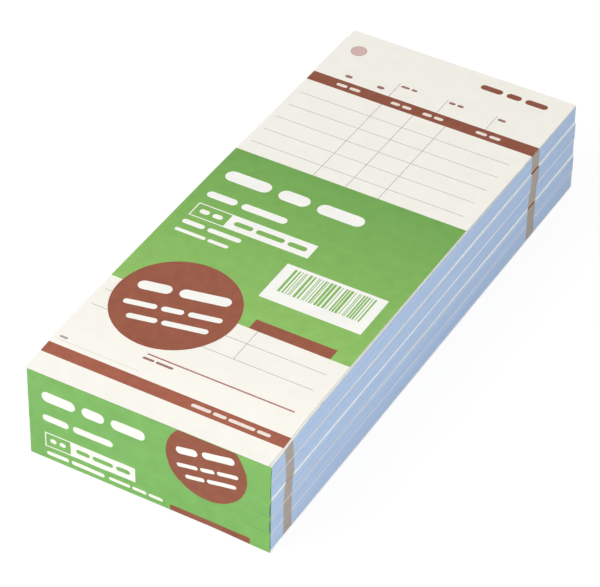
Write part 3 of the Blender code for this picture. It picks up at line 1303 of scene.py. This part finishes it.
@dataclass
class GreenLabel:
    """Print that the two green labels share, in millimetres from the label's front left corner.

    Attributes:
        ink: Green of the label.
        foot_block: Left, right, lower and upper edge of the brown block at the foot.
        cells: The same of a box in two cells, the left one outlined and the right one solid.
        cell_split: Place of the edge between the cells.
        lines: Plain white lines.
        seal_radius: Radius of the round brown seal.
    """

    ink: Finish
    foot_block: Box
    cells: Box
    cell_split: float
    lines: tuple[PrintLine, ...]
    seal_radius: float

    CELL_LINE = 0.35
    CELL_INSET_SHARE = 0.32
    CELL_BAR_SHARE = 0.3
    # On a seal of this radius: each line's middle from the seal's, its length and height, and its bars
    SEAL_LINES_RADIUS = 18.4
    SEAL_LINES = (
        PrintLine(-0.5, 5.3, 27.0, 3.6, (2, 3)), PrintLine(0.5, -2.4, 28.5, 2.0, (3, 2, 3)),
        PrintLine(2.0, -7.6, 23.5, 2.0, (2, 3)))
    SEAL_TILT = radians(12.0)

    def cell_marks(self) -> list[Mark]:
        """The box in two cells.

        Returns:
            The box's marks, with plain bars in each cell.
        """
        left, right, low, high = self.cells
        line = self.CELL_LINE
        split = self.cell_split
        inset = (high - low) * self.CELL_INSET_SHARE
        marks = [Mark(bar(left, right, low, high), LABEL_PAPER),
                 Mark(bar(left + line, split - line / 2, low + line, high - line), self.ink)]
        for start, end, words, ink in ((left, split, (1, 1), LABEL_PAPER),
                                       (split, right, (2, 3, 2), self.ink)):
            marks += PrintLine(start + inset, (low + high) / 2, end - start - 2 * inset,
                               (high - low) * self.CELL_BAR_SHARE, words).marks(ink)
        return marks

    def seal_marks(self, centre: Point) -> list[Mark]:
        """The round seal with three plain lines on it that rise to the right.

        Args:
            centre: Middle of the seal.

        Returns:
            The seal's marks.
        """
        scale = self.seal_radius / self.SEAL_LINES_RADIUS
        marks = [Mark(disc(centre, self.seal_radius), LABEL_BROWN_INK)]
        for across, up, length, height, words, _ in self.SEAL_LINES:
            left = centre[0] + scale * (across - length / 2 * cos(self.SEAL_TILT))
            middle = centre[1] + scale * (up - length / 2 * sin(self.SEAL_TILT))
            marks += PrintLine(left, middle, scale * length, scale * height, words,
                               self.SEAL_TILT).marks(LABEL_PAPER)
        return marks

    def print_marks(self, seal_centre: Point, patch: list[Mark]) -> list[Mark]:
        """All print, in the order in which it is laid.

        Args:
            seal_centre: Middle of the seal.
            patch: Marks that are laid before the cells.

        Returns:
            The marks.
        """
        marks = [Mark(bar(*self.foot_block), LABEL_BROWN_INK)] + patch + self.cell_marks()
        for line in self.lines:
            marks += line.marks(LABEL_PAPER)
        return marks + self.seal_marks(seal_centre)


@dataclass
class TopLabel(GreenLabel):
    """The green slip on the top leaf: a strip across the pad with a round brown seal over its front edge.

    Attributes:
        node: Name of its CAD node.
        leaf: Name of the CAD node of the leaf that it lies on.
        thickness_mm: Thickness of the slip.
        patch: Left, right, lower and upper edge of the white barcode patch.
        barcode: The same of the bars on it.
        bar_widths: Widths that the bars are drawn from.
        gap_widths: Widths that the gaps are drawn from.
        bar_seed: Seed of the bars.
    """

    ink: Finish = GREEN_INK
    foot_block: Box = (43.9, 69.0, 0.0, 4.1)
    cells: Box = (4.3, 42.9, 33.0, 39.1)
    cell_split: float = 15.6
    lines: tuple[PrintLine, ...] = (
        PrintLine(4.0, 54.0, 45.0, 4.6, (3, 2, 3)), PrintLine(4.0, 43.8, 26.0, 2.7, (2, 3)),
        PrintLine(4.3, 30.0, 19.0, 1.8, (2, 3)), PrintLine(4.3, 26.0, 17.3, 1.3, (3, 2)))
    seal_radius: float = GreenLabel.SEAL_LINES_RADIUS
    node: str = "top_label"
    leaf: str = "first_original_leaf"
    thickness_mm: float = 0.1
    patch: Box = (39.3, 71.1, 12.7, 28.5)
    barcode: Box = (42.5, 68.4, 17.0, 27.3)
    bar_widths: tuple[float, ...] = (0.27, 0.27, 0.54, 0.81)
    gap_widths: tuple[float, ...] = (0.27, 0.54, 0.54, 0.81)
    bar_seed: int = 17

    def bars(self) -> list[Mark]:
        """Upright bars of seeded widths, which encode nothing.

        Returns:
            The bars' marks.
        """
        chance = Random(self.bar_seed)
        left, right, low, high = self.barcode
        marks = []
        at = left
        while at < right:
            width = chance.choice(self.bar_widths)
            marks.append(Mark(bar(at, min(at + width, right), low, high), self.ink))
            at += width + chance.choice(self.gap_widths)
        return marks

    def build(self, nodes: Nodes, arch: Arch) -> None:
        """Build the slip on the top leaf.

        Args:
            nodes: The CAD nodes.
            arch: The top pad's arch.
        """
        leaf = Place.of_node(nodes[self.leaf])
        corners = [v.co for v in nodes[self.node].data.vertices]
        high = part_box(self.node)[1]
        front_left = min(corners, key=lambda co: co.x)
        start = (front_left.y - arch.front) * PER_METRE
        length = (high.y - front_left.y) * PER_METRE
        tip = min(corners, key=lambda co: co.y)
        seal_centre = ((tip.x - leaf.point(0.0, (tip.y - arch.front) * PER_METRE).x) * PER_METRE,
                       (tip.y - front_left.y) * PER_METRE + self.seal_radius)
        patch = [Mark(bar(*self.patch), LABEL_PAPER)] + self.bars()
        folds = [fold - start for fold in arch.folds()]
        slip = Sheet([bar(0.0, leaf.width_mm, 0.0, length), disc(seal_centre, self.seal_radius)],
                     self.thickness_mm, self.ink, LABEL_PAPER, LABEL_PAPER,
                     self.print_marks(seal_centre, patch),
                     folds_v=[fold for fold in folds if 0.0 < fold < length])
        piece = Piece("label_slip_sheet")
        slip.add_to(piece, arch.bend(leaf, high.z - arch.height, start))
        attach(piece.make("green_label", self.node), "label_slip")


@dataclass
class EndLabel(GreenLabel):
    """The green sheet over the front end, folded under the stack.

    Attributes:
        seal_centre: Middle of the seal.
        panel: Name of the CAD node of the panel.
        flap: Name of the CAD node of the flap.
        spare_mm: How far the panel reaches past its solid at the right, as the photograph has it.
        draw_in_mm: Length under the fold in which the flap comes back to its solid's width.
        fold_mm: Outer radius of the fold.
        fold_steps: Straight pieces in the fold.
        crease_mm: Depth of the creases that the pads press into the panel.
        crease_width_mm: Half width of a crease.
        crease_reach_mm: How far from the right edge the creases grow deeper.
        crease_shares: Mean depth of a crease, how far it wanders and what it gains at the right edge.
        crease_waves_mm: Waves of that wander, across and up the panel.
        ripple_mm: Depth of the panel's own ripples.
        ripple_waves_mm: Waves of the broad ripples.
        fine_ripple_waves_mm: Waves of the fine ripples, which are half as deep.
        calm_mm: Height over the fold in which the creases and ripples begin.
        top_lean_mm: How far the top edge leans towards the leaves.
        top_lean_height_mm: Height of the stretch that leans.
        edge_gaps_mm: How far the right edge stands off each pad, from the top pad down.
        edge_width_mm: Width of the stretch that stands off.
        gap_shadow_widths_mm: How wide the painted shadow along the right edge is at each pad, from the top
            pad down.
        corner_bulge_mm: How far the fold bulges out and forward at its right end.
        corner_mm: Length and height of the bulge.
        blend_mm: Heights between which the panel leaves the flap as it opens; not used.
    """

    ink: Finish = LIT_GREEN_INK
    foot_block: Box = (44.5, 69.2, 0.0, 2.3)
    cells: Box = (4.9, 33.6, 4.9, 10.1)
    cell_split: float = 13.2
    lines: tuple[PrintLine, ...] = (
        PrintLine(4.4, 23.2, 32.5, 3.5, (3, 2, 3)), PrintLine(4.4, 15.4, 22.3, 2.3, (2, 3)),
        PrintLine(5.3, 2.5, 18.5, 1.4, (2, 3)), PrintLine(25.2, 2.5, 17.0, 1.1, (3, 2, 2)))
    seal_radius: float = 12.4
    seal_centre: Point = (55.7, 21.9)
    panel: str = "end_label_panel"
    flap: str = "end_label_flap"
    spare_mm: float = 0.28
    draw_in_mm: float = 2.8
    fold_mm: float = 0.45
    fold_steps: int = 6
    crease_mm: float = 0.16
    crease_width_mm: float = 0.5
    crease_reach_mm: float = 16.0
    crease_shares: tuple[float, float, float] = (0.45, 0.7, 0.8)
    crease_waves_mm: Span = (14.0, 30.0)
    ripple_mm: float = 0.09
    ripple_waves_mm: Span = (9.0, 6.0)
    fine_ripple_waves_mm: Span = (4.0, 3.0)
    calm_mm: float = 2.0
    top_lean_mm: float = 0.2
    top_lean_height_mm: float = 4.0
    edge_gaps_mm: tuple[float, ...] = (0.05, 0.08, 0.14, 0.12, 0.0)
    edge_width_mm: float = 3.0
    gap_shadow_widths_mm: tuple[float, ...] = (0.16, 0.18, 0.3, 0.3, 0.12)
    corner_bulge_mm: Point = (0.15, 0.5)
    corner_mm: Point = (20.0, 6.0)
    blend_mm: Span = (0.3, 1.5)

    def gap_shadow_lenses(self, width: float, levels: list[float], steps: int = 12) -> list[Mark]:
        """Painted shadow: slim dark lenses along the right edge, one at each pad, where the gap behind it
        lies in shade.

        Args:
            width: Width of the panel.
            levels: Height of the panel, then of the pads' lower faces from the top pad down.
            steps: Straight pieces in a lens.

        Returns:
            The lenses' marks.
        """
        marks = []
        for high, low, reach in zip(levels, levels[1:], self.gap_shadow_widths_mm):
            lens = [(width - reach * sin(pi * share) ** 0.5, high + (low - high) * share)
                    for share in evenly(1.0, steps)]
            marks.append(Mark([(width, low), (width, high)] + lens, PAINTED_GAP_SHADOW))
        return marks

    def inward(self, u: float, v: float, width: float, levels: list[float]) -> float:
        """How far the panel lies behind its plane.

        Args:
            u: Place across the panel.
            v: Height on the panel.
            width: Width of the panel.
            levels: Height of the panel, then of the pads' lower faces from the top pad down.

        Returns:
            The depth in millimetres: creases at the pads, ripples, the top edge's lean towards the leaves,
            and less where the right edge stands off each pad.
        """
        mean, wandering, gain = self.crease_shares
        depth = mean + wandering * wander(u, v, self.crease_waves_mm, draw=5.0)
        depth += gain * towards(width, u, self.crease_reach_mm)
        crease = sum(exp(-(((v - level) / self.crease_width_mm) ** 2)) for level in levels[1:-1])
        ripple = wander(u, v, self.ripple_waves_mm, draw=9.0)
        ripple += wander(u, v, self.fine_ripple_waves_mm, draw=2.0) / 2
        gap = 0.0
        for high, low, gap_mm in zip(levels, levels[1:], self.edge_gaps_mm):
            if low <= v <= high:
                gap = gap_mm * sin(pi * (v - low) / (high - low)) ** 0.5
        calm = smooth_step((v - self.fold_mm) / self.calm_mm)
        return (calm * (self.crease_mm * depth * crease + self.ripple_mm * ripple)
                + self.top_lean_mm * towards(levels[0], v, self.top_lean_height_mm)
                - gap * towards(width, u, self.edge_width_mm))

    def build(self, nodes: Nodes) -> None:
        """Build the sheet as one piece, cut so that it can open at its fold.

        Args:
            nodes: The CAD nodes.
        """
        panel_low, panel_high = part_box(self.panel)
        flap_low, flap_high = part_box(self.flap)
        width = (flap_high.x - flap_low.x) * PER_METRE + self.spare_mm
        height = panel_high.z * PER_METRE
        top_corner = min((v.co for v in nodes[self.panel].data.vertices), key=lambda co: co.x - co.z)
        askew = (top_corner.x - flap_low.x) / top_corner.z
        radius = self.fold_mm
        arc = radius * pi / 2
        under = (flap_high.y - flap_low.y) * PER_METRE - radius
        levels = [height] + [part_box(f"pad_{number}_backing_board")[0].z * PER_METRE
                             for number in range(1, len(PAD_LOOKS) + 1)]

        def folded(u: float, v: float, depth: float) -> Vector:
            """The place of a point of the sheet, down the panel, round the fold and back under the stack.

            Args:
                u: Distance across.
                v: Distance up the sheet, which is the height on the panel and less than 0 on the flap.
                depth: Depth below the printed side.

            Returns:
                The point in the frame.
            """
            bulge = towards(0.0, -abs(v), self.corner_mm[1]) * towards(width, u, self.corner_mm[0])
            drawn_in = self.spare_mm * u / width * smooth_step(-v / self.draw_in_mm)
            x = u - drawn_in + self.corner_bulge_mm[0] * bulge + askew * max(v, 0.0)
            if v >= radius:
                y, z = self.inward(u, v, width, levels) + depth, v
            elif v >= radius - arc:
                turn = (radius - v) / radius
                y, z = radius - (radius - depth) * cos(turn), radius - (radius - depth) * sin(turn)
            else:
                y, z = radius + (radius - arc - v), depth
            y -= self.corner_bulge_mm[1] * bulge
            return Vector((flap_low.x + x * MM, flap_low.y + y * MM, z * MM))

        panel_step, flap_step, edge_step, edge_cuts = 0.25, 8.0, 0.4, 3
        folds_v = [radius - arc * step / self.fold_steps for step in range(self.fold_steps + 1)]
        folds_v += [radius + panel_step * step for step in range(1, int((height - radius) / panel_step))]
        folds_v += [radius - arc - flap_step * step for step in range(1, int(under / flap_step))]
        folds_u = evenly(width, 50) + [width - edge_step * step for step in range(1, edge_cuts + 1)]
        # The lenses on the right edge are painted shadow of the gap behind it
        marks = self.print_marks(self.seal_centre, []) + self.gap_shadow_lenses(width, levels)
        thickness_mm = (panel_high.y - panel_low.y) * PER_METRE
        sheet = Sheet([bar(0.0, width, radius - arc - under, height)], thickness_mm, self.ink, LABEL_PAPER,
                      self.ink, marks, folds_u, folds_v)
        piece = Piece("end_label_sheet")
        sheet.add_to(piece, folded)
        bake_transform(piece.make("green_label", self.panel, self.flap))


@dataclass(frozen=True)
class SoftLamp:
    """A square soft box that looks at the pack.

    Attributes:
        name: Name of the lamp.
        place: Where it hangs, in metres.
        size: Length of its side, in metres.
        watts: Its power.
        in_gloss: Whether glossy surfaces mirror it.
    """

    name: str
    place: tuple[float, float, float]
    size: float
    watts: float
    in_gloss: bool = True

    def hang(self, target: Vector) -> None:
        """Put the lamp in the scene.

        Args:
            target: The point that it is turned to.
        """
        data = bpy.data.lights.new(self.name, "AREA")
        data.shape = "SQUARE"
        data.size = self.size
        data.energy = self.watts
        lamp = put_in_scene(self.name, data)
        lamp.location = self.place
        lamp.visible_glossy = self.in_gloss
        lamp.rotation_mode = "QUATERNION"
        lamp.rotation_quaternion = (target - Vector(self.place)).to_track_quat("-Z", "Y")


def seen_by_eye(tree: NodeTree) -> Node:
    """Whether a ray comes from the eye, straight, by a mirror or through glass.

    Args:
        tree: The tree of a material or of the world.

    Returns:
        The node that gives 1 for such a ray and 0 for others.
    """
    path = add_node(tree, "ShaderNodeLightPath").outputs
    shiny = add_node(tree, MATH, {0: path["Is Glossy Ray"], 1: path["Is Transmission Ray"]},
                     operation="MAXIMUM")
    return add_node(tree, MATH, {0: path["Is Camera Ray"], 1: shiny}, operation="MAXIMUM")


@dataclass
class Studio:
    """Camera, lamps, white surroundings and pale floor.

    Attributes:
        camera_place: Where the camera stands, in metres.
        azimuth: Camera's turn round the pack from looking along +Y.
        elevation: Camera's height above the horizon, as an angle.
        roll: Camera's turn about its own axis.
        focal_pixels: Focal length in pixels of the 600 pixel wide picture.
        picture_width: Width of the picture in pixels.
        ambient: Strength of the surroundings as light.
        floor_half: Half the length of the floor's side, in metres.
        floor_drop: How far the floor lies under the pack, in metres.
        floor_glow: Strength of the floor's own light to the eye.
        glow_shares: How much of that light covers the floor at the pack and far from it.
        glow_reach: Distances from the pack between which the cover grows, in metres.
        lamps: The soft boxes.
        lamp_target: The point that they are turned to.
    """

    camera_place: tuple[float, float, float] = (0.3134, -0.5508, 0.5516)
    azimuth: float = radians(30.037)
    elevation: float = radians(40.670)
    roll: float = radians(0.154)
    focal_pixels: float = 2932.2
    picture_width: float = 600.0
    ambient: float = 0.55
    floor_half: float = 3.0
    floor_drop: float = 0.02 * MM
    floor_glow: float = 1.04
    glow_shares: Span = (0.86, 1.0)
    glow_reach: Span = (0.2, 0.7)
    lamps: tuple[SoftLamp, ...] = (
        SoftLamp("key_soft_box", (-0.45, -0.6, 0.75), 0.6, 5.6),
        SoftLamp("side_soft_box", (0.42, -0.18, 0.12), 0.34, 0.93),
        SoftLamp("back_soft_box", (-0.1, 0.95, 0.12), 0.4, 2.2, in_gloss=False),
    )
    lamp_target: tuple[float, float, float] = (0.0, 0.0, 0.015)

    def build(self) -> None:
        """Set up the whole studio."""
        bpy.context.scene.view_settings.view_transform = "Standard"
        self.stand_camera()
        for lamp in self.lamps:
            lamp.hang(Vector(self.lamp_target))
        self.surround()
        self.lay_floor()

    def stand_camera(self) -> None:
        """Stand the camera at the photograph's viewing angle."""
        back = Vector((sin(self.azimuth) * cos(self.elevation), -cos(self.azimuth) * cos(self.elevation),
                       sin(self.elevation)))
        level = Vector((cos(self.azimuth), sin(self.azimuth), 0.0))
        upright_axis = back.cross(level)
        right = level * cos(self.roll) + upright_axis * sin(self.roll)
        up = upright_axis * cos(self.roll) - level * sin(self.roll)
        data = bpy.data.cameras.new("studio_camera")
        data.sensor_width = 36.0
        data.lens = self.focal_pixels * data.sensor_width / self.picture_width
        data.clip_start = 0.01
        data.clip_end = 50.0
        camera = put_in_scene("studio_camera", data)
        turn = Matrix((right, up, back)).transposed().to_4x4()
        camera.matrix_world = Matrix.Translation(self.camera_place) @ turn
        bpy.context.scene.camera = camera

    def surround(self) -> None:
        """White surroundings to the eye and to reflections, and a soft light on the pack."""
        world = bpy.data.worlds.new("white_studio")
        tree = empty_tree(world)
        strength = add_node(tree, MAP_RANGE, {
            "Value": seen_by_eye(tree), "To Min": self.ambient, "To Max": 1.0})
        light = add_node(tree, "ShaderNodeBackground", {"Color": WHITE, "Strength": strength})
        add_node(tree, "ShaderNodeOutputWorld", {"Surface": light})
        bpy.context.scene.world = world

    def lay_floor(self) -> None:
        """A pale floor that keeps a faint shadow of the pack."""
        grid = bmesh.new()
        bmesh.ops.create_grid(grid, x_segments=8, y_segments=8, size=self.floor_half)
        bmesh.ops.translate(grid, vec=(0.0, 0.0, -self.floor_drop), verts=grid.verts)
        data = bpy.data.meshes.new("studio_floor")
        grid.to_mesh(data)
        grid.free()
        data.materials.append(self.floor_material())
        put_in_scene("studio_floor", data)

    def floor_material(self) -> Material:
        """White sweep that glows a little to the eye, so that it meets the white behind it.

        Returns:
            The material.
        """
        made = bpy.data.materials.new("white_paper_sweep")
        add = partial(add_node, empty_tree(made))
        paper = add("ShaderNodeBsdfDiffuse", {"Color": linear("F4F4F2")})
        glow = add("ShaderNodeEmission", {"Color": WHITE, "Strength": self.floor_glow})
        coords = add("ShaderNodeTexCoord")
        reach = add("ShaderNodeVectorMath", {0: coords.outputs["Object"]}, operation="LENGTH")
        fading = add(MAP_RANGE, {
            "Value": reach.outputs["Value"], "From Min": self.glow_reach[0], "From Max": self.glow_reach[1],
            "To Min": self.glow_shares[0], "To Max": self.glow_shares[1]}, interpolation_type="SMOOTHSTEP")
        share = add(MATH, {0: seen_by_eye(made.node_tree), 1: fading}, operation="MULTIPLY")
        mixed = add("ShaderNodeMixShader", {0: share, 1: paper, 2: glow})
        add("ShaderNodeOutputMaterial", {"Surface": mixed})
        return made


def main() -> None:
    """Build the pack's pieces from the bottom up, then the studio round them."""
    logging.basicConfig(level=logging.INFO, format="%(name)s: %(message)s")
    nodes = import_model()["nodes"]
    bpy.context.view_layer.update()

    leaf_low, leaf_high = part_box("first_original_leaf")
    arch = Arch(leaf_low.y, leaf_high.y, leaf_high.z - leaf_low.z - LEAF_THICKNESS_MM * MM)
    flat = replace(arch, height=0.0)
    tree = LeafBlockTree()
    for number, look in reversed(list(enumerate(PAD_LOOKS, 1))):
        Pad(number, look, nodes, tree, arch if number == 1 else flat).build()

    holder = "pad_1"
    for body, leaf in (("second_copy", Leaf.COPY), ("second_original", Leaf.ORIGINAL),
                       ("first_copy", Leaf.COPY), ("first_original", Leaf.ORIGINAL)):
        LooseLeaf(leaf, holder, body).build(nodes, arch)
        holder = body
    WritingUnderlay().build(nodes, arch)
    TopLabel().build(nodes, arch)
    EndLabel().build(nodes)
    Studio().build()


if __name__ == "__main__":
    main()
